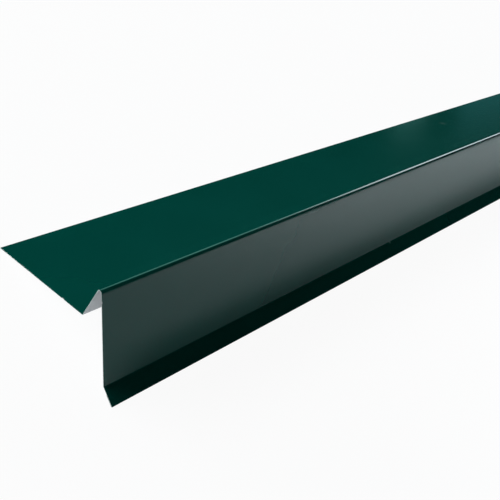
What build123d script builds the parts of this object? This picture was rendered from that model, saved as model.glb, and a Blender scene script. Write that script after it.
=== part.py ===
from build123d import *
from math import asin, atan2, cos, hypot, radians, sin, tan
import os

# Gable trim: one strip of painted steel sheet, folded to cap the edge of a roof at its gable.
# Seen on its end, a flat flange lies on the roof, a web climbs from it to a sharp ridge, a face
# hangs from the ridge in front of the barge board, and a drip kicks out below the face, with its
# edge hemmed. Sizes are in millimetres and degrees, and are taken on the painted side.

# Driving dimensions
length = 2000.0      # one trim, as sold
sheet = 0.5          # steel and its coatings
flange_width = 110.0 # from the valley fold to the back edge
ridge_rise = 31.0    # top of the ridge above the flange
overall_drop = 90.0  # top of the ridge down to the lowest point of the drip
web_lean = 33.0      # angle between the web and the face
drip_width = 15.0    # from the lower fold to the drip's nose, along the slant
drip_kick = 40.0     # angle by which the drip leaves the face
hem_width = 9.0      # edge of the drip folded back underneath, nose included
hem_gap = 0.4        # space left between the drip and its hem
bend_radius = 1.25   # inside radius of the ridge, valley and lower folds

# The section is drawn as the trim sits on the roof: u runs from the plane of the face towards the
# flange, v runs up from the top of the ridge. Folds are placed where the straight runs would meet.
lean = radians(web_lean)
kick = radians(drip_kick)
ridge_radius = bend_radius + sheet
nose_radius = sheet + hem_gap / 2
ridge_peak = ridge_radius * (1 / tan(lean / 2) - 1)
valley_u = (ridge_rise + ridge_peak) * tan(lean)
drip_along = Vector(-sin(kick), -cos(kick))
drip_under = Vector(cos(kick), -sin(kick))
drip_straight = drip_width - nose_radius
nose_drop = drip_straight * cos(kick) + nose_radius * sin(kick) + nose_radius

back_edge = Vector(valley_u + flange_width, -ridge_rise)
valley = Vector(valley_u, -ridge_rise)
ridge = Vector(0, ridge_peak)
lower_fold = Vector(0, nose_drop - overall_drop)
drip_end = lower_fold + drip_along * drip_straight
nose_centre = drip_end + drip_under * nose_radius
hem_start = drip_end + drip_under * (2 * nose_radius)
hem_end = hem_start - drip_along * (hem_width - nose_radius)

# Laid on a floor, the trim rests like a tent on the lower corner of its back edge and on the hem's
# round nose. The slope of the flange in that pose follows from where those two are in the section.
heel = back_edge - Vector(0, sheet)
across = heel - nose_centre
rest_slope = atan2(across.Y, across.X) + asin(nose_radius / hypot(across.X, across.Y))
u_axis = Vector(0, cos(rest_slope), -sin(rest_slope))
v_axis = Vector(0, sin(rest_slope), cos(rest_slope))


def at_rest(point):
    return u_axis * point.X + v_axis * point.Y


front = at_rest(nose_centre).Y - nose_radius
back = at_rest(back_edge).Y
floor = at_rest(heel).Z
section_plane = Plane(
    origin=(0, -(front + back) / 2, -floor),
    x_dir=u_axis,
    z_dir=Vector(1, 0, 0),
)

with BuildPart() as gable_trim:
    with BuildSketch(section_plane):
        with BuildLine():
            runs = FilletPolyline(
                back_edge,
                valley,
                ridge,
                lower_fold,
                drip_end,
                radius=[bend_radius, ridge_radius, bend_radius],
            )
            nose = TangentArc(drip_end, hem_start, tangent=runs % 1)
            Line(nose @ 1, hem_end)
            offset(amount=sheet, side=Side.LEFT)
        make_face()
    extrude(amount=length / 2, both=True)

os.makedirs("parts", exist_ok=True)
gable_trim.part.label = "gable_trim"
export_step(gable_trim.part, "parts/gable_trim.step")
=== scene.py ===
from math import asin, atan2, ceil, cos, hypot, pi, radians, sin, sqrt, tan
import bpy
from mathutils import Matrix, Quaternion, Vector


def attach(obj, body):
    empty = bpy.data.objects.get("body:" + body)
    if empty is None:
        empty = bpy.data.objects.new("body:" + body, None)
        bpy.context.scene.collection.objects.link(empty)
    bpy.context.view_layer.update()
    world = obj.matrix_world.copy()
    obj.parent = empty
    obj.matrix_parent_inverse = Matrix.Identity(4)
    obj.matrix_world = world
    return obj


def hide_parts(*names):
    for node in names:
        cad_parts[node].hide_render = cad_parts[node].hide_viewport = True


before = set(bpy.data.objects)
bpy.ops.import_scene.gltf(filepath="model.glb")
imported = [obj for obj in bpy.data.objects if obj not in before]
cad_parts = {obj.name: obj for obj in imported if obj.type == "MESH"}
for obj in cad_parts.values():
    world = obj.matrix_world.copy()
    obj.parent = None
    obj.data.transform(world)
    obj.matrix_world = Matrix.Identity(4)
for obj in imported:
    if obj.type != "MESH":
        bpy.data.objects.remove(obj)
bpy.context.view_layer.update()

# Gable trim: one strip of pre-painted steel sheet, folded to cap the edge of a roof at its gable.
# The imported solid is hidden. Here the same sheet is made again with finer
# folds, faintly uneven panels and sheared ends, and gets its three finishes.

MM = 0.001

# Section, in mm and degrees, with the values of the part's source
length = 2000.0
sheet = 0.5
flange_width = 110.0
ridge_rise = 31.0
overall_drop = 90.0
web_lean = 33.0
drip_width = 15.0
drip_kick = 40.0
hem_width = 9.0
hem_gap = 0.4
bend_radius = 1.25

lean = radians(web_lean)
kick = radians(drip_kick)
ridge_radius = bend_radius + sheet
nose_radius = sheet + hem_gap / 2
ridge_peak = ridge_radius * (1 / tan(lean / 2) - 1)
valley_u = (ridge_rise + ridge_peak) * tan(lean)
drip_straight = drip_width - nose_radius
nose_drop = drip_straight * cos(kick) + nose_radius * sin(kick) + nose_radius

# Turns of the section's folds, walking from the flange's back edge to the hem; left is positive
valley_turn = lean - pi / 2
ridge_turn = pi - lean
lower_turn = -kick
nose_turn = pi

# The ridge is blunter on its crown than in the source, and its last degrees are eased out into the
# face. Each of its bends is a turn and a radius.
ridge_climb = radians(62.0)
ridge_crown = radians(44.0)
crown_radius = 2.7
fall_radius = 1.0
ridge_ease = [(radians(5.0), 12.0), (radians(4.0), 45.0)]
ridge_fall = ridge_turn - ridge_climb - ridge_crown - sum(turn for turn, radius in ridge_ease)
ridge_bends = [
    (ridge_climb, ridge_radius),
    (ridge_crown, crown_radius),
    (ridge_fall, fall_radius),
] + ridge_ease


def fold_reach(bends):
    """Lengths that a fold takes from the straight runs before and after it."""
    walked = Vector((0.0, 0.0))
    turned = 0.0
    for turn, radius in bends:
        ahead = turned + turn
        walked += radius * Vector((sin(ahead) - sin(turned), cos(turned) - cos(ahead)))
        turned = ahead
    after = walked.y / sin(turned)
    return walked.x - after * cos(turned), after


valley_reach = fold_reach([(-valley_turn, bend_radius)])[0]
lower_reach = fold_reach([(-lower_turn, bend_radius)])[0]
ridge_before, ridge_after = fold_reach(ridge_bends)
flange_run = flange_width - valley_reach
web_run = hypot(valley_u, ridge_rise + ridge_peak) - valley_reach - ridge_before
face_run = overall_drop + ridge_peak - nose_drop - ridge_after - lower_reach
drip_run = drip_straight - lower_reach
hem_run = hem_width - nose_radius

# Marks of the shear at the near end: a nick in the flange and a crushed spot on the face. They are
# placed along the panels, the nick from the valley fold and the spot from the ridge.
nick_from_valley = 23.0
nick_width = 3.0
nick_depth = 0.5
crush_from_ridge = 3.2
crush_width = 2.6
crush_depth = 0.45
mark_points = 9
mark_fade = 4.0      # length over which a mark fades out along the trim
shear_round = 0.16   # radius of the painted edge at both ends

# Division of the section and of the length
panel_spacing = 6.0
fold_margin = 0.35   # first and last division of a panel, beside its folds
fold_step = radians(6.0)
nose_step = radians(10.0)
ridge_bend_points = 6
end_stations = [0.0, 0.03, 0.08, 0.16, 0.4, 1.0, 2.0, 4.0, 8.0]
station_spacing = 12.0

# Unevenness of the rolled sheet: its height on two panels, and the waves along the trim
flange_wave = 0.10
face_wave = 0.06
wave_lengths = [410.0, 263.0, 171.0]
wave_shares = [0.5, 0.3, 0.2]
wave_starts = [0.7, 2.9, 4.4]


def panel_stops(run, mark=None, mark_width=0.0):
    """Distances along a straight run at which the sheet is divided, closer beside a shear mark."""
    count = max(2, ceil(run / panel_spacing))
    stops = [run * k / count for k in range(count + 1)] + [fold_margin, run - fold_margin]
    if mark is not None:
        stops += [mark + mark_width * (k / (mark_points - 1) - 0.5) for k in range(mark_points)]
    return sorted(stops)


# Each point of the section has its place on the painted side, the outward normal, the height of the
# waves there and the depth of a shear mark there. A pen walks along the section and notes them.
section = []
pen = Vector((valley_u + flange_width, -ridge_rise))
heading = pi


def outward():
    return Vector((sin(heading), -cos(heading)))


def straight(run, wave=0.0, mark=None, mark_width=0.0, mark_depth=0.0):
    """Walks along a flat panel and notes its points."""
    global pen
    along = Vector((cos(heading), sin(heading)))
    for stop in panel_stops(run, mark, mark_width):
        dent = 0.0
        if mark is not None and abs(stop - mark) < mark_width / 2:
            dent = mark_depth * cos(pi * (stop - mark) / mark_width) ** 2
        section.append((pen + along * stop, outward(), wave * sin(pi * stop / run) ** 2, dent))
    pen = pen + along * run


def fold(turn, radius, step, ends_fold=True):
    """Walks round a bend and notes its points. The end of a whole fold is left to the next panel."""
    global pen, heading
    to_rim = radius if turn > 0 else -radius
    centre = pen - outward() * to_rim
    count = ceil(abs(turn) / step)
    for k in range(count):
        heading += turn / count
        if k < count - 1 or not ends_fold:
            section.append((centre + outward() * to_rim, outward(), 0.0, 0.0))
    pen = centre + outward() * to_rim


straight(flange_run, flange_wave, flange_run - nick_from_valley, nick_width, nick_depth)
fold(valley_turn, bend_radius, fold_step)
straight(web_run)
for bend in ridge_bends:
    ridge_step = min(fold_step, bend[0] / ridge_bend_points)
    fold(bend[0], bend[1], ridge_step, ends_fold=bend == ridge_bends[-1])
straight(face_run, face_wave, crush_from_ridge, crush_width, crush_depth)
fold(lower_turn, bend_radius, fold_step)
straight(drip_run)
fold(nose_turn, nose_radius, nose_step)
straight(hem_run)

# Slope at which the trim rests on the floor, from the lower corner of its back edge and the hem's nose
drip_end = Vector((-drip_straight * sin(kick), nose_drop - overall_drop - drip_straight * cos(kick)))
nose_centre = drip_end + nose_radius * Vector((cos(kick), -sin(kick)))
heel = Vector((valley_u + flange_width, -ridge_rise - sheet))
across = heel - nose_centre
rest_slope = atan2(across.y, across.x) + asin(nose_radius / across.length)


def at_rest(point):
    return Vector((
        point.x * cos(rest_slope) + point.y * sin(rest_slope),
        point.y * cos(rest_slope) - point.x * sin(rest_slope),
    ))


front = at_rest(nose_centre).x - nose_radius
back = at_rest(heel + Vector((0, sheet))).x
to_floor = Vector((-(front + back) / 2, -at_rest(heel).y))


def length_stops():
    """Places along the length at which the sheet is divided, from the near end to the far end."""
    inner = length - 2 * end_stations[-1]
    count = ceil(inner / station_spacing)
    between = [end_stations[-1] + inner * k / count for k in range(1, count)]
    return end_stations + between + [length - stop for stop in reversed(end_stations)]


def wave_at(x):
    waves = zip(wave_lengths, wave_shares, wave_starts)
    return sum(share * sin(2 * pi * x / wave + start) for wave, share, start in waves)


# At each station stands a ring of points, first a row on the painted side, then one on the back
verts = []
stations = length_stops()
for x in stations:
    to_end = min(x, length - x)
    fade = max(0.0, 1.0 - to_end / mark_fade)
    rounding = 0.0
    if to_end < shear_round:
        rounding = shear_round - sqrt(shear_round ** 2 - (shear_round - to_end) ** 2)
    for depth in (rounding, sheet):
        for point, normal, wave, dent in section:
            lift = wave * wave_at(x) - depth
            place = at_rest(point + normal * lift) + to_floor
            shift = dent * fade if x < length / 2 else 0.0
            verts.append(Vector((x - length / 2 + shift, place.x, place.y)) * MM)

row = len(section)
ring = 2 * row
paint, backing, cut = range(3)
faces = []
finishes = []


def add_face(corners, finish):
    faces.append(corners)
    finishes.append(finish)


for k in range(len(stations) - 1):
    a = k * ring
    b = a + ring
    for i in range(row - 1):
        add_face((a + i, a + i + 1, b + i + 1, b + i), paint)
        add_face((a + row + i, b + row + i, b + row + i + 1, a + row + i + 1), backing)
    add_face((a, b, b + row, a + row), cut)
    add_face((a + row - 1, a + ring - 1, b + ring - 1, b + row - 1), cut)
far_end = (len(stations) - 1) * ring
for i in range(row - 1):
    add_face((i, row + i, row + i + 1, i + 1), cut)
    add_face((far_end + i, far_end + i + 1, far_end + row + i + 1, far_end + row + i), cut)


def linear(code):
    """Colour as the shader takes it, from a hex code, by the curve of the sRGB standard."""
    channels = [int(code[k:k + 2], 16) / 255 for k in (1, 3, 5)]
    return [c / 12.92 if c <= 0.04045 else ((c + 0.055) / 1.055) ** 2.4 for c in channels] + [1.0]


def add(tree, kind, inputs=None, **settings):
    """Adds a node. Settings are its own choices; inputs are values, or sockets to link from."""
    made = tree.nodes.new(kind)
    for name, value in settings.items():
        setattr(made, name, value)
    for name, value in (inputs or {}).items():
        if isinstance(value, bpy.types.NodeSocket):
            tree.links.new(value, made.inputs[name])
        else:
            made.inputs[name].default_value = value
    return made


def new_material(name):
    made = bpy.data.materials.new(name)
    made.use_nodes = True
    made.node_tree.nodes.clear()
    return made, made.node_tree


def per_metre(size):
    """Texture scale at which one blotch of a noise is about this size in mm."""
    return 1 / (size * MM)


coating_ior = 1.5

# Coil-coated polyester, moss green, rolled on and baked before folding. It gives the eye an even, deep
# green with a soft semi-gloss, a very fine orange peel and two small dusty marks, a faint one on the
# flange and a paler one on the lower fold. Each mark has a place, a radius and a share of dust.
moss_dark = "#003B33"
moss_light = "#004139"
moss_cloud = 45.0
gloss_low = 0.13
gloss_high = 0.16
peel_size = 2.0
peel_height = 0.01
peel_strength = 0.10
dust = "#5C7872"
dust_marks = [
    ((-395.0, 49.5, 11.8), 5.5, 0.3),
    ((-657.0, -64.1, 7.8), 2.2, 0.9),
]
topcoat, tree = new_material("coil_coated_polyester_moss_green")
coords = add(tree, "ShaderNodeTexCoord").outputs["Object"]
cloud = add(tree, "ShaderNodeTexNoise", {"Vector": coords, "Scale": per_metre(moss_cloud), "Detail": 3.0})
green = add(tree, "ShaderNodeMix", {
    "Factor": cloud.outputs["Fac"],
    "A": linear(moss_dark),
    "B": linear(moss_light),
}, data_type="RGBA")
for place, radius, share in dust_marks:
    away = add(tree, "ShaderNodeVectorMath", {0: coords, 1: Vector(place) * MM}, operation="DISTANCE")
    cover = add(tree, "ShaderNodeMapRange", {
        "Value": away.outputs["Value"],
        "From Max": radius * MM,
        "To Min": share,
        "To Max": 0.0,
    })
    green = add(tree, "ShaderNodeMix", {
        "Factor": cover.outputs["Result"],
        "A": green.outputs["Result"],
        "B": linear(dust),
    }, data_type="RGBA")
peel = add(tree, "ShaderNodeTexNoise", {"Vector": coords, "Scale": per_metre(peel_size), "Detail": 2.0})
relief = add(tree, "ShaderNodeBump", {
    "Strength": peel_strength,
    "Distance": peel_height * MM,
    "Height": peel.outputs["Fac"],
})
gloss = add(tree, "ShaderNodeMapRange", {
    "Value": cloud.outputs["Fac"],
    "To Min": gloss_low,
    "To Max": gloss_high,
})
shader = add(tree, "ShaderNodeBsdfPrincipled", {
    "Base Color": green.outputs["Result"],
    "Roughness": gloss.outputs["Result"],
    "IOR": coating_ior,
    "Normal": relief.outputs["Normal"],
})
add(tree, "ShaderNodeOutputMaterial", {"Surface": shader.outputs["BSDF"]})

# Epoxy backing coat, a thin light grey wash on the underside. It looks flat and a little chalky.
wash_dark = "#A6A6A5"
wash_light = "#AEAEAD"
wash_cloud = 18.0
backcoat, tree = new_material("epoxy_backing_coat_light_grey")
coords = add(tree, "ShaderNodeTexCoord").outputs["Object"]
cloud = add(tree, "ShaderNodeTexNoise", {"Vector": coords, "Scale": per_metre(wash_cloud), "Detail": 4.0})
grey = add(tree, "ShaderNodeMix", {
    "Factor": cloud.outputs["Fac"],
    "A": linear(wash_dark),
    "B": linear(wash_light),
}, data_type="RGBA")
shader = add(tree, "ShaderNodeBsdfPrincipled", {
    "Base Color": grey.outputs["Result"],
    "Roughness": 0.55,
    "IOR": coating_ior,
})
add(tree, "ShaderNodeOutputMaterial", {"Surface": shader.outputs["BSDF"]})

# Galvanised steel laid bare by the shear. The cut is a dull, slightly green grey with fine mottling.
cut_dark = "#8FA39E"
cut_light = "#B8C6C1"
cut_mottling = 0.4
cut_steel, tree = new_material("sheared_galvanised_steel")
coords = add(tree, "ShaderNodeTexCoord").outputs["Object"]
mottle = add(tree, "ShaderNodeTexNoise", {"Vector": coords, "Scale": per_metre(cut_mottling), "Detail": 2.0})
grey = add(tree, "ShaderNodeMix", {
    "Factor": mottle.outputs["Fac"],
    "A": linear(cut_dark),
    "B": linear(cut_light),
}, data_type="RGBA")
shader = add(tree, "ShaderNodeBsdfPrincipled", {
    "Base Color": grey.outputs["Result"],
    "Metallic": 0.3,
    "Roughness": 0.5,
})
add(tree, "ShaderNodeOutputMaterial", {"Surface": shader.outputs["BSDF"]})

sharp_angle = radians(40.0)
mesh = bpy.data.meshes.new("gable_trim_sheet")
mesh.from_pydata(verts, [], faces)
for finish in (topcoat, backcoat, cut_steel):
    mesh.materials.append(finish)
mesh.polygons.foreach_set("material_index", finishes)
mesh.polygons.foreach_set("use_smooth", [True] * len(faces))
mesh.set_sharp_from_angle(angle=sharp_angle)
mesh.validate()
trim = bpy.data.objects.new("gable_trim_sheet", mesh)
bpy.context.collection.objects.link(trim)
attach(trim, "root")
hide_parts("gable_trim")

# Camera: place and aim in mm, and the roll that tilts the picture
camera_place = Vector((-1196.099, -215.723, 403.954)) * MM
camera_aim = Vector((-804.324, -6.976, 0.0)) * MM
camera_roll = radians(28.8165)
camera_lens = 47.8403
camera_sensor = 36.0
camera_data = bpy.data.cameras.new("camera")
camera_data.lens = camera_lens
camera_data.sensor_width = camera_sensor
camera = bpy.data.objects.new("camera", camera_data)
camera.rotation_mode = "QUATERNION"
camera.location = camera_place
look = (camera_aim - camera_place).to_track_quat("-Z", "Y")
camera.rotation_quaternion = look @ Quaternion((0, 0, 1), camera_roll)
bpy.context.collection.objects.link(camera)
bpy.context.scene.camera = camera

# Studio, in metres and degrees
white = "#FFFFFF"
dome_step = 5.0


def toward(turn, height):
    """Unit vector at a turn from +X towards +Y and a height above the floor."""
    flat = cos(radians(height))
    return Vector((flat * cos(radians(turn)), flat * sin(radians(turn)), sin(radians(height))))


def stage_mesh(name, points, quads, finish):
    """A sheet of the studio, which isn't part of the object."""
    cloth = bpy.data.meshes.new(name)
    cloth.from_pydata(points, [], quads)
    cloth.materials.append(finish)
    made = bpy.data.objects.new(name, cloth)
    bpy.context.collection.objects.link(made)
    return made


def flat_sheet(name, low, high, height, finish):
    """A level sheet between two corners, given as X and Y."""
    corners = [(low[0], low[1]), (high[0], low[1]), (high[0], high[1]), (low[0], high[1])]
    return stage_mesh(name, [(x, y, height) for x, y in corners], [(0, 1, 2, 3)], finish)


def dome_sheet(name, radius, turns, heights, finish):
    """Part of a dome round the stage, between two turns from +X and two heights."""
    around = ceil((turns[1] - turns[0]) / dome_step)
    upward = ceil((heights[1] - heights[0]) / dome_step)
    points = []
    for j in range(upward + 1):
        height = heights[0] + (heights[1] - heights[0]) * j / upward
        for k in range(around + 1):
            turn = turns[0] + (turns[1] - turns[0]) * k / around
            points.append(toward(turn, height) * radius)
    quads = []
    for j in range(upward):
        for k in range(around):
            a = j * (around + 1) + k
            b = a + around + 1
            quads.append((a, a + 1, b + 1, b))
    return stage_mesh(name, points, quads, finish)


def glowing(name, code, strength):
    """A finish that shows one brightness from everywhere."""
    made, tree = new_material(name)
    glow = add(tree, "ShaderNodeEmission", {"Color": linear(code), "Strength": strength})
    add(tree, "ShaderNodeOutputMaterial", {"Surface": glow.outputs[0]})
    return made


def for_gloss_only(screen):
    """Hides a sheet of the studio from all but the gloss of the paint."""
    screen.visible_camera = False
    screen.visible_diffuse = False
    screen.visible_shadow = False
    screen.visible_transmission = False


# The floor is white for the camera and keeps a faint shadow. The gloss of the paint sees it mostly as
# it is lit, with the full shadow that the trim throws forward.
floor_half = 20.0
floor_level = -0.4 * MM
floor_tint = "#EAF2F6"
white_share = 0.94
gloss_share = 0.03
floor_finish, tree = new_material("white_matt_floor")
path = add(tree, "ShaderNodeLightPath").outputs
direct = add(tree, "ShaderNodeMath", {
    0: path["Is Camera Ray"],
    1: path["Is Transmission Ray"],
}, operation="MAXIMUM")
direct = add(tree, "ShaderNodeMath", {0: direct.outputs[0], 1: white_share}, operation="MULTIPLY")
mirrored = add(tree, "ShaderNodeMath", {0: path["Is Glossy Ray"], 1: gloss_share}, operation="MULTIPLY")
share = add(tree, "ShaderNodeMath", {0: direct.outputs[0], 1: mirrored.outputs[0]}, operation="MAXIMUM")
lit = add(tree, "ShaderNodeBsdfDiffuse", {"Color": linear(floor_tint)})
glow = add(tree, "ShaderNodeEmission", {"Color": linear(white), "Strength": 1.0})
mixed = add(tree, "ShaderNodeMixShader", {0: share.outputs[0], 1: lit.outputs[0], 2: glow.outputs[0]})
add(tree, "ShaderNodeOutputMaterial", {"Surface": mixed.outputs[0]})
flat_sheet("floor", (-floor_half, -floor_half), (floor_half, floor_half), floor_level, floor_finish)

# World: white behind everything, and a low even fill for the matt surfaces
fill_level = 0.05
world = bpy.data.worlds.new("studio")
bpy.context.scene.world = world
world.use_nodes = True
tree = world.node_tree
tree.nodes.clear()
path = add(tree, "ShaderNodeLightPath").outputs
seen = add(tree, "ShaderNodeMath", {
    0: path["Is Camera Ray"],
    1: path["Is Glossy Ray"],
}, operation="MAXIMUM")
seen = add(tree, "ShaderNodeMath", {
    0: seen.outputs[0],
    1: path["Is Transmission Ray"],
}, operation="MAXIMUM")
level = add(tree, "ShaderNodeMapRange", {"Value": seen.outputs[0], "To Min": fill_level, "To Max": 1.0})
sky = add(tree, "ShaderNodeBackground", {"Color": linear(white), "Strength": level.outputs[0]})
add(tree, "ShaderNodeOutputWorld", {"Surface": sky.outputs[0]})

# Black felt: a curtain all round, a cloth on the floor behind the trim and one well in front of it.
# Only the gloss of the paint sees it. It keeps the flange deep green and the drip and the band below
# the ridge dark.
curtain_radius = 9.0
back_cloth_start = 0.08
front_cloth_end = -0.65
felt_level = -0.3 * MM
felt = glowing("black_felt", "#040404", 1.0)
screens = [
    dome_sheet("curtain", curtain_radius, (0.0, 360.0), (0.0, 90.0), felt),
    flat_sheet("floor_cloth", (-floor_half, back_cloth_start), (floor_half, floor_half), felt_level, felt),
    flat_sheet("front_cloth", (-floor_half, -floor_half), (floor_half, front_cloth_end), felt_level, felt),
]

# Glowing cards before the felt, also for the gloss alone. The sheen and band cards give the flange its
# soft sheen far along, the ridge card the highlight of the ridge and the back card the green line on
# its near half. The front card lightens the ridge a little at the far end. Each row has the card, its
# finish, colour and strength, the turns between which it stands, and the heights.
card_radius = 8.5
cards = [
    ("sheen_card", "pale_card", "#78E8F4", 0.19, (22.0, 30.0), (0.0, 6.0)),
    ("band_card", "hazy_card", "#98F0EC", 0.8, (32.5, 35.5), (0.0, 4.0)),
    ("ridge_card", "bright_card", "#E8F6FF", 6.2, (2.0, 34.0), (20.0, 42.0)),
    ("front_card", "dim_card", "#E4F4FF", 0.6, (-31.0, -20.0), (1.0, 13.0)),
    ("back_card", "soft_card", "#98F0E0", 2.8, (35.0, 66.0), (22.0, 50.0)),
]
for card, finish_name, colour, strength, turns, heights in cards:
    finish = glowing(finish_name, colour, strength)
    screens.append(dome_sheet(card, card_radius, turns, heights, finish))
for screen in screens:
    for_gloss_only(screen)


def lamp(name, place, aim, width, height, brightness, colour=white, spread=180.0, in_gloss=True):
    """A soft box. Its power follows from the brightness of its front."""
    data = bpy.data.lights.new(name, "AREA")
    data.shape = "RECTANGLE"
    data.size = width
    data.size_y = height
    data.energy = brightness * pi * width * height
    data.color = linear(colour)[:3]
    data.spread = radians(spread)
    made = bpy.data.objects.new(name, data)
    made.location = place
    made.rotation_mode = "QUATERNION"
    made.rotation_quaternion = (aim - place).to_track_quat("-Z", "Y")
    made.visible_camera = False
    made.visible_glossy = in_gloss
    bpy.context.collection.objects.link(made)


# Lamps. The key and the rim stand behind the near end, so the face is in shade and mirrors the floor
# before it, on which the pool lamp shines. The side lamp reaches the far half. The table lamp lies on
# the floor in front and shines up.
up = Vector((0.0, 0.0, 1.0))
near_end = Vector((-1.0, 0.0, 0.0))
middle = Vector((0.0, 0.0, 0.07))
back_distance = 4.0
side_distance = 2.0
pool_place = Vector((-0.24, -0.36, 1.0))
table_place = Vector((0.0, -0.96, -0.2 * MM))
lamp(
    "key_lamp",
    place=near_end + toward(turn=125.0, height=36.5) * back_distance,
    aim=near_end,
    width=2.4,
    height=0.8,
    brightness=19.5,
)
lamp(
    "rim_lamp",
    place=near_end + toward(turn=110.0, height=9.0) * back_distance,
    aim=near_end,
    width=2.0,
    height=0.4,
    brightness=42.0,
)
lamp(
    "side_lamp",
    place=middle + toward(turn=20.0, height=20.0) * side_distance,
    aim=middle,
    width=1.5,
    height=1.2,
    brightness=4.8,
    colour="#F4F8FF",
    in_gloss=False,
)
lamp(
    "pool_lamp",
    place=pool_place,
    aim=pool_place - up,
    width=0.9,
    height=0.15,
    brightness=2.15,
    colour="#FCFCFC",
    spread=36.0,
)
lamp(
    "table_lamp",
    place=table_place,
    aim=table_place + up,
    width=4.0,
    height=2.08,
    brightness=1.0,
    colour="#F0F6FF",
    in_gloss=False,
)

bpy.context.scene.view_settings.view_transform = "Standard"
